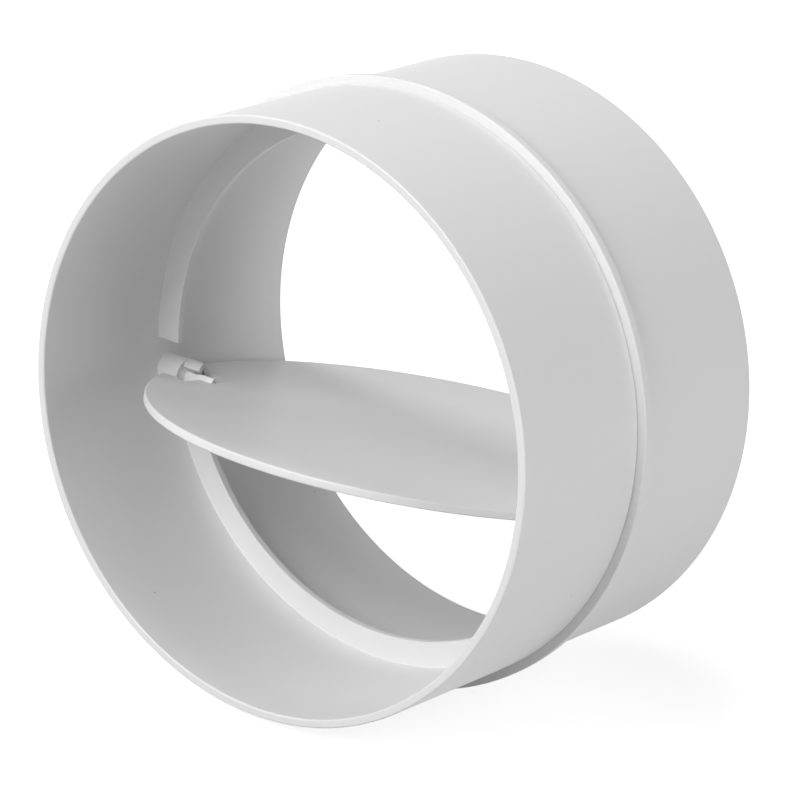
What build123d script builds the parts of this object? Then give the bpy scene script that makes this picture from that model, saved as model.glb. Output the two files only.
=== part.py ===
from build123d import *
import os
from math import cos, radians, sin, sqrt, tan

# In-line backdraft damper for a 100 mm round duct, in millimetres.
# Two white plastic mouldings: a tube with a stop collar, and a round flap that
# swings on two pins in it. Air opens the flap towards +Y, and a back draught
# shuts it against two half-ring seats, one on each side of it.
# Frame: +Y along the airflow, +X along the pivot, +Z up. The origin is on the
# tube's axis, in the middle of the stop collar. The flap is modelled wide open.

os.makedirs("parts", exist_ok=True)

# Tube
spigot_diameter = 99.5  # slips into a 100 mm duct
spigot_length = 30.0  # from the collar's face to the rim, at each end
collar_width = 1.6
collar_height = 1.5
rim_wall = 1.45  # thickness at the two rims
draft_step = 0.35  # the bore narrows by this radius from each rim to the middle
rim_edge = 0.3  # on the rims' outer and inner edges
collar_edge = 0.2  # on the collar's two outer edges

# Flap
flap_thickness = 1.5
flap_side_clearance = 0.5  # from the open flap's widest part to the bore
flap_sink = 1.0  # of the shut flap's centre, below the tube's axis
flap_edge = 0.25
open_angle = 8.1  # past level, just before the flap's sides meet the bore

# Half-ring seats
seat_height = 4.55  # from the bore inwards, at the middle of the tube
seat_thickness = 1.35
seat_clearance = 0.1  # between a seat and the closed flap
seat_edge = 0.3  # on the free inner edges
seat_end_clearance = 0.1  # from the open flap's plane down to the lower seat's ends
upper_seat_gap = 3.1  # from a boss up to the flat end of the upper seat

# Pivot
pivot_drop = 10.1  # from the tube's axis down to the pivot
boss_diameter = 5.6
boss_round = 0.3
pin_diameter = 3.4
pin_length = 2.9  # from the boss's face
pin_chamfer = 0.4
pin_fit = 0.08  # running clearance on radius in the clip

# Clip on the flap, one at each pin: a trough with a springy arm over the pin
clip_gap = 1.4  # from the boss's face to the trough
clip_side_clearance = 0.3  # from the trough to the lower seat's inner edge
clip_wall = 1.12
clip_length = 6.2  # of the trough and its front wall
clip_end_wall = 0.6  # closes the trough's inner end
clip_slit = 0.5  # between the front wall and the arm
clip_slit_angle = 37.0  # above the flap's face, towards the front
arm_gap = 0.2  # from the boss's face to the arm
arm_length = 2.7  # in front of the pin
arm_root_length = 1.9  # behind the pin
notch_front = 5.5  # from the pivot to the front edge of the notch
notch_clearance = 0.4  # between a boss and the rear edge of the notch
clip_overhang = 3.0  # of the trough, in the notch
notch_round = 0.8

# Worked out from the values above
spigot_radius = spigot_diameter / 2
collar_radius = spigot_radius + collar_height
rim_y = collar_width / 2 + spigot_length
rim_bore_radius = spigot_radius - rim_wall
throat_radius = rim_bore_radius - draft_step
seat_radius = throat_radius - seat_height
seat_gap = flap_thickness / 2 + seat_clearance
boss_radius = boss_diameter / 2
pin_radius = pin_diameter / 2
clip_bore_radius = pin_radius + pin_fit
clip_radius = clip_bore_radius + clip_wall
clip_reach = pivot_drop + clip_radius
clip_face = sqrt(seat_radius**2 - clip_reach**2) - clip_side_clearance
boss_face = clip_face + clip_gap
arm_face = boss_face - arm_gap
slit_angle = radians(180 - clip_slit_angle)
slit_end = (2 * clip_radius * cos(slit_angle), 2 * clip_radius * sin(slit_angle))
tilt = radians(open_angle)

# The open disc is widest across its centre, where its lower edge clears the bore
flap_offset = pivot_drop - flap_sink
flap_centre_y = flap_offset * cos(tilt) - flap_thickness / 2 * sin(tilt)
flap_centre_drop = pivot_drop + flap_offset * sin(tilt) + flap_thickness / 2 * cos(tilt)
bore_there = throat_radius + draft_step * flap_centre_y / rim_y
flap_radius = sqrt(bore_there**2 - flap_centre_drop**2) - flap_side_clearance
notch_end = clip_face - clip_overhang

# The lower seat's ends stand just under the open flap's plane, at the seat's rear face
seat_rear_y = seat_gap + seat_thickness
seat_end_drop = flap_thickness / 2 / cos(tilt) + seat_rear_y * tan(tilt) + seat_end_clearance

# Rings reach this far into the wall, so that they join it along the whole draft
seat_root_radius = throat_radius + draft_step / 2 + rim_wall / 2

# The pivot's line, and the open flap's plane through it
pivot_plane = Plane(origin=(0, 0, -pivot_drop), x_dir=(1, 0, 0), z_dir=(0, 0, 1))
flap_plane = Plane(
    origin=(0, 0, -pivot_drop), x_dir=(1, 0, 0), z_dir=(0, sin(tilt), cos(tilt))
)


def across_flap(x):
    """Plane across the pivot at x: its x runs back along the flap, its y up from it."""
    return Plane(
        origin=(x, 0, -pivot_drop), x_dir=(0, cos(tilt), -sin(tilt)), z_dir=(1, 0, 0)
    )


def seat_ring(front_y, keep_plane, keep_side):
    """Half ring inside the tube with broken free edges and flat ends."""
    with BuildPart() as ring:
        with BuildSketch(Plane.XY) as section:
            with Locations(((seat_radius + seat_root_radius) / 2, front_y + seat_thickness / 2)):
                Rectangle(seat_root_radius - seat_radius, seat_thickness)
            chamfer(section.vertices().group_by(Axis.X)[0], seat_edge)
        revolve(axis=Axis.Y)
        split(bisect_by=keep_plane, keep=keep_side)
    return ring.part


# Upper seat: in front of the flap. Lower seat: behind it.
upper_seat = seat_ring(
    -seat_gap - seat_thickness, pivot_plane.offset(boss_radius + upper_seat_gap), Keep.TOP
)
lower_seat = seat_ring(seat_gap, pivot_plane.offset(-seat_end_drop), Keep.BOTTOM)

# Bosses with their pins, trimmed to end inside the tube's wall
with BuildPart() as pivots:
    with BuildSketch(Plane.YZ.offset(boss_face)):
        with Locations((0, -pivot_drop)):
            Circle(boss_radius)
    extrude(amount=spigot_radius - boss_face)
    boss_rim = pivots.edges().filter_by(GeomType.CIRCLE).sort_by(Axis.X)[0]
    fillet(boss_rim, boss_round)
    with BuildSketch(Plane.YZ.offset(boss_face)):
        with Locations((0, -pivot_drop)):
            Circle(pin_radius)
    extrude(amount=-pin_length)
    pin_rim = pivots.edges().filter_by(GeomType.CIRCLE).sort_by(Axis.X)[0]
    chamfer(pin_rim, pin_chamfer)
    mirror(about=Plane.YZ)
    with BuildSketch(Plane.XZ.offset(-rim_y)):
        Circle(seat_root_radius)
    extrude(amount=2 * rim_y, mode=Mode.INTERSECT)

# Tube: one turned section, drafted inside from both rims to the middle
with BuildPart() as housing:
    with BuildSketch(Plane.XY) as section:
        with BuildLine():
            Polyline(
                (rim_bore_radius, -rim_y),
                (spigot_radius, -rim_y),
                (spigot_radius, -collar_width / 2),
                (collar_radius, -collar_width / 2),
                (collar_radius, collar_width / 2),
                (spigot_radius, collar_width / 2),
                (spigot_radius, rim_y),
                (rim_bore_radius, rim_y),
                (throat_radius, 0),
                close=True,
            )
        make_face()
        rim_corners = section.vertices().group_by(Axis.Y)
        chamfer(rim_corners[0] + rim_corners[-1], rim_edge)
        collar_corners = section.vertices().group_by(Axis.X)[-1]
        chamfer(collar_corners, collar_edge)
    revolve(axis=Axis.Y)
    add(upper_seat)
    add(lower_seat)
    add(pivots.part)
housing.part.label = "housing"

# Flap: a thin disc off centre from its pivot, notched round the two bosses
with BuildPart() as flap:
    with BuildSketch(flap_plane.offset(-flap_thickness / 2)) as outline:
        with Locations((0, flap_offset)):
            Circle(flap_radius)
        for side in (-1, 1):
            with Locations((side * notch_end, -notch_front)):
                Rectangle(
                    2 * (flap_radius - notch_end),
                    notch_front + boss_radius + notch_clearance,
                    align=(Align.MIN if side > 0 else Align.MAX, Align.MIN),
                    mode=Mode.SUBTRACT,
                )
        fillet(outline.vertices(), notch_round)
    extrude(amount=flap_thickness)
    through_flap = Axis(flap_plane.origin, flap_plane.z_dir)
    skins = flap.faces().filter_by(through_flap)
    chamfer(skins.edges(), flap_edge)

    for side in (-1, 1):
        # Trough under the pin, up to the flap's upper face
        with BuildSketch(across_flap(side * clip_face)):
            Circle(clip_radius)
            with Locations((0, flap_thickness / 2)):
                Rectangle(
                    2 * clip_radius,
                    2 * clip_radius,
                    align=(Align.CENTER, Align.MAX),
                    mode=Mode.INTERSECT,
                )
        extrude(amount=-side * clip_length)

        # Its front wall, up to the slit
        with BuildSketch(across_flap(side * clip_face)):
            Circle(clip_radius)
            Polygon((0, 0), (-2 * clip_radius, 0), slit_end, align=None, mode=Mode.INTERSECT)
        extrude(amount=-side * clip_length)

        # The arm, round the pin from behind and over it
        with BuildSketch(across_flap(side * arm_face)):
            Circle(clip_radius)
            Rectangle(
                2 * clip_radius,
                2 * clip_radius,
                align=(Align.MIN, Align.MIN),
                mode=Mode.INTERSECT,
            )
        extrude(amount=-side * arm_root_length)
        with BuildSketch(across_flap(side * arm_face)):
            Circle(clip_radius)
            Polygon(
                (0, 0),
                (0, 2 * clip_radius),
                (slit_end[0], 2 * clip_radius),
                slit_end,
                align=None,
                mode=Mode.INTERSECT,
            )
        extrude(amount=-side * arm_length)

        # Room for the pin, and the slit through which the clip springs open
        with BuildSketch(across_flap(side * arm_face)):
            Circle(clip_bore_radius)
        bore_length = arm_face - clip_face + clip_length - clip_end_wall
        extrude(amount=-side * bore_length, mode=Mode.SUBTRACT)
        with BuildSketch(across_flap(side * arm_face)):
            with Locations(Location((0, 0), 180 - clip_slit_angle)):
                with Locations((pin_radius, 0)):
                    Rectangle(2 * clip_wall, clip_slit, align=(Align.MIN, Align.CENTER))
        extrude(amount=-side * (bore_length + clip_end_wall), mode=Mode.SUBTRACT)
flap.part.label = "flap"

export_step(housing.part, "parts/housing.step")
export_step(flap.part, "parts/flap.step")
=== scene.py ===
import math

import bmesh
import bpy
from mathutils import Matrix, Vector


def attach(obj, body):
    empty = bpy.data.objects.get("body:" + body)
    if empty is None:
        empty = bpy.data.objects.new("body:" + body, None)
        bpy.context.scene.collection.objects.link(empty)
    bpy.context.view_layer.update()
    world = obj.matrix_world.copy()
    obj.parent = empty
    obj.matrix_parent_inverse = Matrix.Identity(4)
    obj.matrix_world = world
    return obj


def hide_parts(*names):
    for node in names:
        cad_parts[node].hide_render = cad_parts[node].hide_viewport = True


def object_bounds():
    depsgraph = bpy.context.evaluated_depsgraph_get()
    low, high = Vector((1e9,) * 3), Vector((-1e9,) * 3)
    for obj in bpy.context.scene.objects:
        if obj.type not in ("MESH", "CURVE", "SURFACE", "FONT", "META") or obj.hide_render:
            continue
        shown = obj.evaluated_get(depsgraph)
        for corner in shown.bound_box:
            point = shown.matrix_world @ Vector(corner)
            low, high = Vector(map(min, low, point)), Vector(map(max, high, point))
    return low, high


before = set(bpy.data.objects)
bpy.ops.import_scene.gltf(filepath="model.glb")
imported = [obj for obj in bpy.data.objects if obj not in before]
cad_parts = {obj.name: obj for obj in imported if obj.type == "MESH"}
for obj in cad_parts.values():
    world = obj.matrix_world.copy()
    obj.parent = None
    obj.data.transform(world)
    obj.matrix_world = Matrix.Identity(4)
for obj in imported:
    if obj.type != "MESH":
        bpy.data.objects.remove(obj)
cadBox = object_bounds()
scene = bpy.context.scene
mm = 0.001
print("frame loaded")


def linear(code):
    parts = [int(code[i:i + 2], 16) / 255 for i in (1, 3, 5)]
    return [c / 12.92 if c <= 0.04045 else ((c + 0.055) / 1.055) ** 2.4 for c in parts] + [1.0]


def addNode(tree, kind, settings=None, links=None):
    node = tree.nodes.new(kind)
    for name, value in (settings or {}).items():
        if isinstance(name, int) or name in node.inputs:
            node.inputs[name].default_value = value
        else:
            setattr(node, name, value)
    for name, source in (links or {}).items():
        tree.links.new(source, node.inputs[name])
    return node


# Camera, in the part's frame: the tube in the photograph had rolled a little on its side
camera = {
    "place": (440.85, -598.9, 253.73),
    "lookAt": (1.15, 0.12, -1.69),
    "roll": 4.97,
    "lens": 218.67,
    "sensor": 36,
    "near": 0.05,
    "far": 20,
}
cameraData = bpy.data.cameras.new("camera")
cameraData.lens = camera["lens"]
cameraData.sensor_width = camera["sensor"]
cameraData.clip_start, cameraData.clip_end = camera["near"], camera["far"]
cameraObject = bpy.data.objects.new("camera", cameraData)
scene.collection.objects.link(cameraObject)
cameraPlace, lookAt = Vector(camera["place"]) * mm, Vector(camera["lookAt"]) * mm
aim = (lookAt - cameraPlace).to_track_quat("-Z", "Y").to_matrix().to_4x4()
roll = Matrix.Rotation(math.radians(camera["roll"]), 4, "Z")
cameraObject.matrix_world = Matrix.Translation(cameraPlace) @ aim @ roll
scene.camera = cameraObject


cornerSteps = 5  # along each rounded corner of an outline


# Outlines are closed lists of points in millimetres, and each corner is (x, y, radius)
def roundCorners(corners):
    outline = []
    for i, (x, y, radius) in enumerate(corners):
        here = Vector((x, y))
        if radius == 0:
            outline.append(here)
            continue
        before = (Vector(corners[i - 1][:2]) - here).normalized()
        after = (Vector(corners[(i + 1) % len(corners)][:2]) - here).normalized()
        half = before.angle(after) / 2
        centre = here + (before + after).normalized() * radius / math.sin(half)
        first = here + before * radius / math.tan(half) - centre
        last = here + after * radius / math.tan(half) - centre
        turn = math.atan2(first.x * last.y - first.y * last.x, first.dot(last))
        for k in range(cornerSteps + 1):
            outline.append(centre + Matrix.Rotation(turn * k / cornerSteps, 2) @ first)
    return outline


def arc(radius, fromAngle, toAngle, steps, centre=(0, 0)):
    angles = [math.radians(fromAngle + (toAngle - fromAngle) * k / steps) for k in range(steps + 1)]
    return [(centre[0] + radius * math.cos(t), centre[1] + radius * math.sin(t), 0) for t in angles]


# Draws a counter-clockwise outline in by a distance, with mitred corners
def inset(outline, distance):
    moved = []
    for i, here in enumerate(outline):
        along = (here - outline[i - 1]).normalized()
        away = (outline[(i + 1) % len(outline)] - here).normalized()
        inward = Vector((-along.y - away.y, along.x + away.x)) / (1 + along.dot(away))
        moved.append(here + inward * distance)
    return moved


# Loops that round off the end of a bar: each is (distance from the end, outline there)
def roundedEnd(outline, edge, steps=3):
    turns = [math.pi / 2 * k / steps for k in range(steps + 1)]
    return [(edge * (1 - math.cos(t)), inset(outline, edge * (1 - math.sin(t)))) for t in turns]


# 0 below the low value, 1 above the high one, and straight between
def ramp(value, low, high):
    return min(max((value - low) / (high - low), 0), 1)


# Skins closed loops of points one after another, and closes the two ends with flat faces
def skinLoops(mesh, loops, closeEnds=True):
    rows = [[mesh.verts.new(Vector(point) * mm) for point in loop] for loop in loops]
    count = len(rows[0])
    for near, far in zip(rows, rows[1:]):
        for i in range(count):
            j = (i + 1) % count
            mesh.faces.new((near[i], near[j], far[j], far[i])).smooth = True
    if closeEnds:
        mesh.faces.new(rows[0])
        mesh.faces.new(list(reversed(rows[-1])))


def finishPiece(mesh, name, body):
    bmesh.ops.recalc_face_normals(mesh, faces=mesh.faces)
    data = bpy.data.meshes.new(name)
    mesh.to_mesh(data)
    mesh.free()
    piece = bpy.data.objects.new(name, data)
    scene.collection.objects.link(piece)
    weighted = piece.modifiers.new("flat faces stay flat", "WEIGHTED_NORMAL")
    weighted.keep_sharp = True
    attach(piece, body)
    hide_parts(body)
    return piece


# Tube: one moulding, with the stop collar outside, and two half-ring seats and two pivots inside
tube = {
    "outerRadius": 49.75, "rimY": 30.8, "rimBore": 48.3, "throat": 47.95, "rimRound": 0.32,
    "rearRimBore": 48.17, "rearRimRound": 0.12,
    "collarRadius": 51.25, "collarHalf": 0.8, "collarRound": 0.2, "collarRearRoot": 0.12,
    "grooveWidth": 0.2, "grooveFloorWidth": 0.12, "grooveDepth": 0.16, "grooveRound": 0.05,
    "seatRadius": 43.6, "seatNearY": 0.85, "seatFarY": 2.2, "seatRound": 0.18, "seatRoot": 0.1,
    "seatSink": 0.6, "upperSeatZ": -4.2, "lowerSeatZ": -11.271, "seatEndRound": 0.15,
    "rootOverlap": 0.02, "around": 360,
}
pivot = {
    "z": -10.1, "bossRadius": 2.8, "bossFaceX": 42.82, "bossRound": 0.18, "bossRoot": 0.12,
    "bossSink": 0.4, "rootSteps": 6, "roundSteps": 5,
    "pinRadius": 1.5, "pinLength": 2.3, "pinChamfer": 0.3, "around": 72,
}


def boreRadius(y):
    return tube["throat"] + (tube["rimBore"] - tube["throat"]) * abs(y) / tube["rimY"]


mesh = bmesh.new()
rim, crest, fine = tube["rimRound"], tube["collarRound"], tube["grooveRound"]
grooveFloor = tube["outerRadius"] - tube["grooveDepth"]
section = roundCorners([
    (tube["rimBore"], -tube["rimY"], rim),
    (tube["outerRadius"], -tube["rimY"], rim),
    (tube["outerRadius"], -tube["collarHalf"] - tube["grooveWidth"], fine),
    (grooveFloor, -tube["collarHalf"] - tube["grooveFloorWidth"], fine),
    (grooveFloor, -tube["collarHalf"], fine),
    (tube["collarRadius"], -tube["collarHalf"], crest),
    (tube["collarRadius"], tube["collarHalf"], crest),
    (tube["outerRadius"], tube["collarHalf"], tube["collarRearRoot"]),
    (tube["outerRadius"], tube["rimY"], tube["rearRimRound"]),
    (tube["rearRimBore"], tube["rimY"], tube["rearRimRound"]),
    (tube["throat"], 0, 0),
])
turns = [2 * math.pi * k / tube["around"] for k in range(tube["around"])]
lanes = [[(p.x * math.cos(t), p.y, p.x * math.sin(t)) for t in turns] for p in section]
skinLoops(mesh, lanes + lanes[:1], closeEnds=False)
bmesh.ops.remove_doubles(mesh, verts=mesh.verts, dist=1e-7)


# A seat is swept from one flat end to the other, and its foot flares into the wall
def addSeat(mesh, nearY, farY, cutZ, upper):
    sunk = tube["throat"] + tube["seatSink"]
    wall = [boreRadius(y) + tube["rootOverlap"] for y in (nearY, farY)]
    flare, free = tube["seatRoot"], tube["seatRound"]
    section = roundCorners([
        (tube["seatRadius"], nearY, free), (wall[0], nearY, flare), (wall[0], nearY - flare, 0),
        (sunk, nearY - flare, 0), (sunk, farY + flare, 0), (wall[1], farY + flare, 0),
        (wall[1], farY, flare), (tube["seatRadius"], farY, free),
    ])
    steps = tube["around"] // 2
    end = roundedEnd(section, tube["seatEndRound"])
    stations = [(0, distance, points) for distance, points in end]
    stations += [(k / steps, 0, section) for k in range(2, steps - 1)]
    stations += [(1, distance, points) for distance, points in reversed(end)]
    loops = []
    for part, fromEnd, points in stations:
        loop = []
        for p in points:
            cut = cutZ + (fromEnd if upper else -fromEnd)
            start = math.asin(cut / p.x)
            span = math.pi - 2 * start if upper else -math.pi - 2 * start
            angle = start + span * part
            loop.append((p.x * math.cos(angle), p.y, p.x * math.sin(angle)))
        loops.append(loop)
    skinLoops(mesh, loops)


addSeat(mesh, -tube["seatFarY"], -tube["seatNearY"], tube["upperSeatZ"], True)
addSeat(mesh, tube["seatNearY"], tube["seatFarY"], tube["lowerSeatZ"], False)


# A boss with its pin, turned about the pivot, whose foot flares into the curved wall
def addPivot(mesh, side):
    radius, face, edge = pivot["bossRadius"], pivot["bossFaceX"], pivot["bossRound"]
    pin, tip, chamfer = pivot["pinRadius"], pivot["bossFaceX"] - pivot["pinLength"], pivot["pinChamfer"]
    loops = []
    angles = [2 * math.pi * k / pivot["around"] for k in range(pivot["around"])]

    def wallX(reach, angle):
        y, z = reach * math.cos(angle), pivot["z"] + reach * math.sin(angle)
        return math.sqrt(boreRadius(y) ** 2 - z ** 2)

    def ring(reach, place):
        loops.append([
            (side * place(t), reach * math.cos(t), pivot["z"] + reach * math.sin(t)) for t in angles
        ])

    flare, overlap = pivot["bossRoot"], tube["rootOverlap"]
    ring(radius + flare, lambda t: wallX(radius + flare, t) + pivot["bossSink"])
    for k in range(pivot["rootSteps"] + 1):
        turn = math.pi / 2 * (1 - k / pivot["rootSteps"])
        reach = radius + flare * (1 - math.cos(turn))
        ring(reach, lambda t: wallX(reach, t) + overlap - flare * (1 - math.sin(turn)))
    for k in range(pivot["roundSteps"] + 1):
        turn = math.pi / 2 * k / pivot["roundSteps"]
        ring(radius - edge * (1 - math.cos(turn)), lambda t: face + edge * (1 - math.sin(turn)))
    ring(pin, lambda t: face)
    ring(pin, lambda t: tip + chamfer)
    ring(pin - chamfer, lambda t: tip)
    skinLoops(mesh, loops)


for side in (-1, 1):
    addPivot(mesh, side)
tubePiece = finishPiece(mesh, "tubeMoulding", "housing")
print("tube made")


# Flap: one moulding, laid out flat (across, back from the pivot, up) and then tilted about the pivot
flap = {
    "tilt": 8.1, "thickness": 1.5, "round": 0.35, "radius": 45.996, "offset": 9.1,
    "notchX": 38.107, "notchFront": -5.5, "notchRear": 3.2, "notchRound": 0.8,
    "reliefX": 40.3, "reliefTaper": 0.9, "reliefFront": -6.4, "reliefRound": 0.5, "reliefEndRound": 0.45,
    "slotX": 35.6, "slotFront": -2.2, "slotRear": 1.9,
    "cornerClear": 1.6, "aroundRear": 240, "aroundFront": 180, "edgeSteps": 4,
}
clip = {
    "outer": 2.9, "bore": 1.78, "troughNearX": 41.107, "troughFarX": 35.2, "closedX": 37.9,
    "topV": 0.757, "slitHalf": 0.25, "lipRound": 0.14, "endRound": 0.12, "stepX": 0.05,
    "wallSlit": 146.2, "freeWallSlit": 140.2, "freeWallX": 37.3, "wallRise": 2.0,
    "outerSteps": 48, "boreSteps": 36, "footSteps": 8,
    "armSlit": 144.6, "armNearX": 42.72, "armLipX": 42.1, "armFarX": 39.55, "armTipX": 38.8,
    "armRootFarX": 40.407, "armShrink": 0.015, "armSteps": 40,
    "armGrows": (84, 96), "armTipSlants": (92, 136), "armLipSlants": (112, 140),  # degrees round the pin
}


def onFlap(across, back, up):
    tilt = math.radians(flap["tilt"])
    y = back * math.cos(tilt) + up * math.sin(tilt)
    return (across, y, pivot["z"] - back * math.sin(tilt) + up * math.cos(tilt))


mesh = bmesh.new()
reach, middle = flap["radius"], flap["offset"]
front, rear, notchX, notchRound = flap["notchFront"], flap["notchRear"], flap["notchX"], flap["notchRound"]
halfNotch = [
    (math.sqrt(reach ** 2 - (front - middle) ** 2), front, notchRound),
    (flap["reliefX"], front, flap["reliefRound"]),
    (flap["reliefX"] - flap["reliefTaper"], flap["reliefFront"], flap["reliefRound"]),
    (notchX, flap["reliefFront"], flap["reliefEndRound"]),
    (notchX, flap["slotFront"], 0), (flap["slotX"], flap["slotFront"], 0),
    (flap["slotX"], flap["slotRear"], 0), (notchX, flap["slotRear"], 0),
    (notchX, rear, notchRound),
    (math.sqrt(reach ** 2 - (rear - middle) ** 2), rear, notchRound),
]
rearAngle = math.degrees(math.asin((rear - middle) / reach)) + flap["cornerClear"]
frontAngle = math.degrees(math.asin((front - middle) / reach)) - flap["cornerClear"]
plate = halfNotch + arc(reach, rearAngle, 180 - rearAngle, flap["aroundRear"], (0, middle))
plate += [(-x, y, r) for x, y, r in reversed(halfNotch)]
plate += arc(reach, -180 - frontAngle, frontAngle, flap["aroundFront"], (0, middle))
edgeLoops = roundedEnd(roundCorners(plate), flap["round"], flap["edgeSteps"])
skin = [(flap["thickness"] / 2 - depth, points) for depth, points in edgeLoops]
skin += [(-up, points) for up, points in reversed(skin)]
skinLoops(mesh, [[onFlap(p.x, p.y, up) for p in points] for up, points in skin])


def aroundPin(radius, angle, edge=0):
    return (radius * math.cos(math.radians(angle)), radius * math.sin(math.radians(angle)), edge)


# The trough that holds the pin from below. Its front wall rises past the arm
def addTrough(mesh, side):
    outer, bore, top, lip = clip["outer"], clip["bore"], clip["topV"], clip["lipRound"]
    rearOut, rearIn = [math.degrees(math.asin(top / r)) for r in (outer, bore)]
    riseX, closedX = clip["freeWallX"] + clip["wallRise"], clip["closedX"]
    solidX = closedX - clip["stepX"]

    # The arcs stop some degrees short of the lips, which leaves the lips room for their rounds
    def shell(slit):
        frontOut, frontIn = [slit + math.degrees(math.asin(clip["slitHalf"] / r)) for r in (outer, bore)]
        return roundCorners([
            aroundPin(outer, frontOut, lip),
            *arc(outer, frontOut + 4, rearOut + 360 - 8, clip["outerSteps"]),
            aroundPin(outer, rearOut, lip), aroundPin(bore, rearIn, lip),
            *arc(bore, rearIn - 14, frontIn - 360 + 6, clip["boreSteps"]),
            aroundPin(bore, frontIn, lip),
        ])

    # Beyond the arm's end the trough is solid: a flat top takes the points of its rear lip and bore
    def closed(points):
        cornerCount = cornerSteps + 1
        first = 2 * cornerCount + clip["outerSteps"] + 1
        foot = first + cornerCount + clip["boreSteps"] + 1
        flatSteps = foot - first - clip["footSteps"] + 1
        start, lipFoot = points[first - 1], points[foot]
        bend = Vector((lipFoot.x + clip["stepX"], start.y))
        flat = [start.lerp(bend, k / flatSteps) for k in range(1, flatSteps + 1)]
        flat += [bend.lerp(lipFoot, k / clip["footSteps"]) for k in range(1, clip["footSteps"])]
        return points[:first] + flat + points[foot:]

    def wallAt(x):
        rise = (1 - math.cos(math.pi * ramp(x, riseX, clip["freeWallX"]))) / 2
        return shell(clip["wallSlit"] + (clip["freeWallSlit"] - clip["wallSlit"]) * rise)

    near = roundedEnd(wallAt(clip["troughNearX"]), clip["endRound"])
    stations = [(clip["troughNearX"] - distance, points) for distance, points in near]
    for k in range(6):
        x = riseX - (riseX - closedX) * k / 5
        stations.append((x, wallAt(x)))
    for k in range(4):
        x = solidX - (solidX - clip["freeWallX"]) * k / 3
        stations.append((x, closed(wallAt(x))))
    far = roundedEnd(closed(wallAt(clip["troughFarX"])), clip["endRound"])
    stations += [(clip["troughFarX"] + distance, points) for distance, points in reversed(far)]
    skinLoops(mesh, [[onFlap(side * x, p.x, p.y) for p in points] for x, points in stations])


# The springy arm, which comes up behind the pin and reaches over it to the slit
def addArm(mesh, side):
    outer, bore = clip["outer"] - clip["armShrink"], clip["bore"] + clip["armShrink"]
    edge, steps = clip["endRound"], clip["armSteps"]

    def section(angle):
        share = ramp(angle, *clip["armGrows"])
        share = share * share * (3 - 2 * share)
        farX = clip["armRootFarX"] + (clip["armFarX"] - clip["armRootFarX"]) * share
        farX += (clip["armTipX"] - clip["armFarX"]) * ramp(angle, *clip["armTipSlants"])
        nearX = clip["armNearX"]
        nearX += (clip["armLipX"] - clip["armNearX"]) * ramp(angle, *clip["armLipSlants"])
        corners = [(farX, bore), (nearX, bore), (nearX, outer), (farX, outer)]
        return roundCorners([(x, r, edge) for x, r in corners])

    def lipAngle(radius):
        return clip["armSlit"] - math.degrees(math.asin(clip["slitHalf"] / radius))

    lip = roundedEnd(section(lipAngle(outer)), edge)
    stations = [(k / steps, 0, section(lipAngle(outer) * k / steps)) for k in range(steps - 2)]
    stations += [(1, distance, points) for distance, points in reversed(lip)]
    loops = []
    for part, fromLip, points in stations:
        loop = []
        for p in points:
            back, up, _ = aroundPin(p.y, part * lipAngle(p.y) - math.degrees(fromLip / p.y))
            loop.append(onFlap(side * p.x, back, up))
        loops.append(loop)
    skinLoops(mesh, loops)


for side in (-1, 1):
    addTrough(mesh, side)
    addArm(mesh, side)
flapPiece = finishPiece(mesh, "flapMoulding", "flap")
print("flap made")


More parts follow.
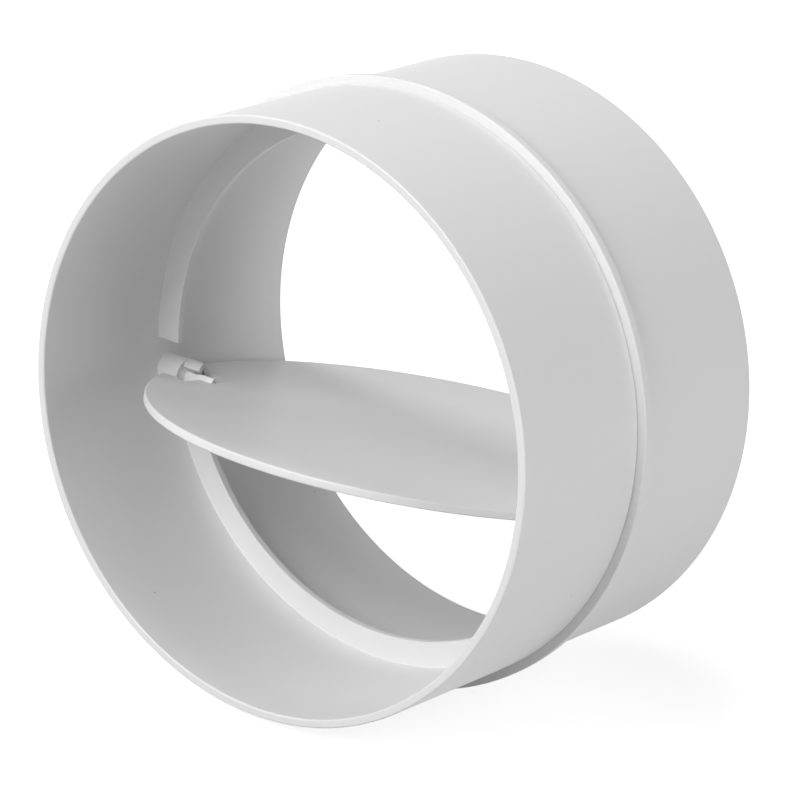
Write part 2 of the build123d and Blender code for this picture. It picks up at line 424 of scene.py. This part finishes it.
# Moulded white ABS: satin from a finely blasted tool, neutral, with a faint grain and odd dark specks
def mouldedAbs(name, finish):
    material = bpy.data.materials.new(name)
    material.use_nodes = True
    tree = material.node_tree
    tree.nodes.clear()
    place = addNode(tree, "ShaderNodeTexCoord").outputs["Object"]

    def pattern(kind, size, settings):
        settings = {"Scale": 1 / (size * mm), **settings}
        return addNode(tree, kind, settings, {"Vector": place})

    # Slow drift of the pigment through the moulding
    drift = pattern("ShaderNodeTexNoise", finish["driftWidth"], {"Detail": 2.0})
    shade = addNode(tree, "ShaderNodeMix", {"data_type": "RGBA"}, {"Factor": drift.outputs["Fac"]})
    shade.inputs["A"].default_value = linear(finish["deepWhite"])
    shade.inputs["B"].default_value = linear(finish["brightWhite"])

    # Specks of burnt plastic: each cell of the pattern has one point, and only those on the skin show
    cells = pattern("ShaderNodeTexVoronoi", finish["speckSpacing"], {})
    speckEdge = finish["speckRadius"] / finish["speckSpacing"]
    speck = addNode(
        tree, "ShaderNodeMapRange",
        {
            "From Min": speckEdge * finish["speckCore"], "From Max": speckEdge,
            "To Min": finish["speckDepth"], "To Max": 0.0,
        },
        {"Value": cells.outputs["Distance"]},
    )
    colour = addNode(
        tree, "ShaderNodeMix", {"data_type": "RGBA"},
        {"Factor": speck.outputs["Result"], "A": shade.outputs["Result"]},
    )
    colour.inputs["B"].default_value = linear(finish["speckColour"])

    # Blasted grain of the tool, drawn coarser than it is so that it shows
    grain = pattern("ShaderNodeTexNoise", finish["grainWidth"], {"Detail": 3.0, "Roughness": 0.6})
    satin = addNode(
        tree, "ShaderNodeMapRange",
        {
            "To Min": finish["roughness"] - finish["roughnessDrift"],
            "To Max": finish["roughness"] + finish["roughnessDrift"],
        },
        {"Value": grain.outputs["Fac"]},
    )
    sink = pattern("ShaderNodeTexNoise", finish["sinkWidth"], {"Detail": 1.0})
    slowBump = addNode(
        tree, "ShaderNodeBump", {"Strength": 1.0, "Distance": finish["sinkDepth"] * mm},
        {"Height": sink.outputs["Fac"]},
    )
    fineBump = addNode(
        tree, "ShaderNodeBump", {"Strength": 1.0, "Distance": finish["grainDepth"] * mm},
        {"Height": grain.outputs["Fac"], "Normal": slowBump.outputs["Normal"]},
    )
    shader = addNode(
        tree, "ShaderNodeBsdfPrincipled", {"IOR": 1.53, "Metallic": 0.0},
        {
            "Base Color": colour.outputs["Result"],
            "Roughness": satin.outputs["Result"],
            "Normal": fineBump.outputs["Normal"],
        },
    )
    addNode(tree, "ShaderNodeOutputMaterial", {}, {"Surface": shader.outputs["BSDF"]})
    return material


tubeFinish = {
    "brightWhite": "#ebebeb", "deepWhite": "#e8e8e8", "driftWidth": 35,
    "speckColour": "#6f6d6a", "speckSpacing": 8.5, "speckRadius": 0.18, "speckCore": 0.5, "speckDepth": 0.7,
    "grainWidth": 0.45, "grainDepth": 0.004, "sinkWidth": 18, "sinkDepth": 0.05,
    "roughness": 0.45, "roughnessDrift": 0.04,
}
flapFinish = {**tubeFinish, "driftWidth": 28, "speckSpacing": 9.5, "roughness": 0.43, "sinkDepth": 0.04}
tubePlastic = mouldedAbs("satin moulded ABS, tube", tubeFinish)
flapPlastic = mouldedAbs("satin moulded ABS, flap", flapFinish)
tubePiece.data.materials.append(tubePlastic)
flapPiece.data.materials.append(flapPlastic)
print("materials made")


# Floor and backdrop: white to the camera, pale to the light that bounces. The floor keeps a soft
# shadow near the tube, and its glow rises to full white further out. The radii are in metres
studio = {
    "floorColour": "#bcbcbc", "floorGlow": 0.8, "shadowRadius": 0.12, "whiteRadius": 0.35,
    "floorSize": 6.0, "floorGap": 0.02, "fill": 0.0,
}


def whiteToCamera(tree):
    path = addNode(tree, "ShaderNodeLightPath")
    seen = path.outputs["Is Camera Ray"]
    for other in ("Is Glossy Ray", "Is Transmission Ray"):
        seen = addNode(
            tree, "ShaderNodeMath", {"operation": "MAXIMUM"}, {0: seen, 1: path.outputs[other]}
        ).outputs[0]
    return seen


world = bpy.data.worlds.new("studio")
world.use_nodes = True
scene.world = world
tree = world.node_tree
tree.nodes.clear()
level = addNode(tree, "ShaderNodeMix", {}, {"Factor": whiteToCamera(tree)})
level.inputs["A"].default_value = studio["fill"]
level.inputs["B"].default_value = 1.0
backdrop = addNode(tree, "ShaderNodeBackground", {"Color": [1.0] * 4}, {"Strength": level.outputs["Result"]})
addNode(tree, "ShaderNodeOutputWorld", {}, {"Surface": backdrop.outputs[0]})

reach = studio["floorSize"] / 2
floorHeight = cadBox[0].z - studio["floorGap"] * mm
floorMesh = bpy.data.meshes.new("floor")
corners = [(x * reach, y * reach, floorHeight) for x, y in ((-1, -1), (1, -1), (1, 1), (-1, 1))]
floorMesh.from_pydata(corners, [], [(0, 1, 2, 3)])
floor = bpy.data.objects.new("floor", floorMesh)
scene.collection.objects.link(floor)
paper = bpy.data.materials.new("pale floor")
paper.use_nodes = True
tree = paper.node_tree
tree.nodes.clear()
matt = addNode(tree, "ShaderNodeBsdfDiffuse", {"Color": linear(studio["floorColour"])})
floorPlace = addNode(tree, "ShaderNodeTexCoord").outputs["Object"]
fromTube = addNode(tree, "ShaderNodeVectorMath", {"operation": "LENGTH"}, {0: floorPlace})
spread = addNode(
    tree, "ShaderNodeMapRange",
    {
        "From Min": studio["shadowRadius"], "From Max": studio["whiteRadius"],
        "To Min": studio["floorGlow"], "To Max": 1.0,
    },
    {"Value": fromTube.outputs["Value"]},
)
lift = addNode(
    tree, "ShaderNodeMath", {"operation": "MULTIPLY"}, {0: whiteToCamera(tree), 1: spread.outputs["Result"]}
)
glow = addNode(tree, "ShaderNodeEmission", {}, {"Strength": lift.outputs[0]})
both = addNode(tree, "ShaderNodeAddShader", {}, {0: matt.outputs[0], 1: glow.outputs[0]})
addNode(tree, "ShaderNodeOutputMaterial", {}, {"Surface": both.outputs[0]})
floorMesh.materials.append(paper)

# Lamps: azimuth 0 stands in front of the tube, 90 at its right
lamps = {
    "key": {"azimuth": -12, "elevation": 35, "distance": 1.5, "size": 0.9, "power": 11.7},
    "front": {"azimuth": 2, "elevation": 28, "distance": 1.5, "size": 1.2, "power": 5.7},
    "leftFront": {"azimuth": -60, "elevation": 30, "distance": 1.5, "size": 0.7, "power": 4.1},
    "left": {"azimuth": -100, "elevation": 58, "distance": 1.5, "size": 0.7, "power": 7.2},
    "rightHigh": {"azimuth": 106, "elevation": 36, "distance": 1.5, "size": 0.7, "power": 3.1},
    "rightLow": {"azimuth": 90, "elevation": 4, "distance": 1.5, "size": 0.7, "power": 9.1},
    "rear": {"azimuth": 180, "elevation": 14, "distance": 1.5, "size": 1.6, "power": 1.3},
}
for name, lamp in lamps.items():
    a, e = math.radians(lamp["azimuth"]), math.radians(lamp["elevation"])
    toLamp = Vector((math.sin(a) * math.cos(e), -math.cos(a) * math.cos(e), math.sin(e)))
    light = bpy.data.lights.new(name, "AREA")
    light.shape = "DISK"
    light.size = lamp["size"]
    light.energy = lamp["power"]
    stand = bpy.data.objects.new(name, light)
    scene.collection.objects.link(stand)
    stand.location = toLamp * lamp["distance"]
    stand.rotation_mode = "QUATERNION"
    stand.rotation_quaternion = (-toLamp).to_track_quat("-Z", "Y")
scene.view_settings.view_transform = "Standard"
print("studio lit")
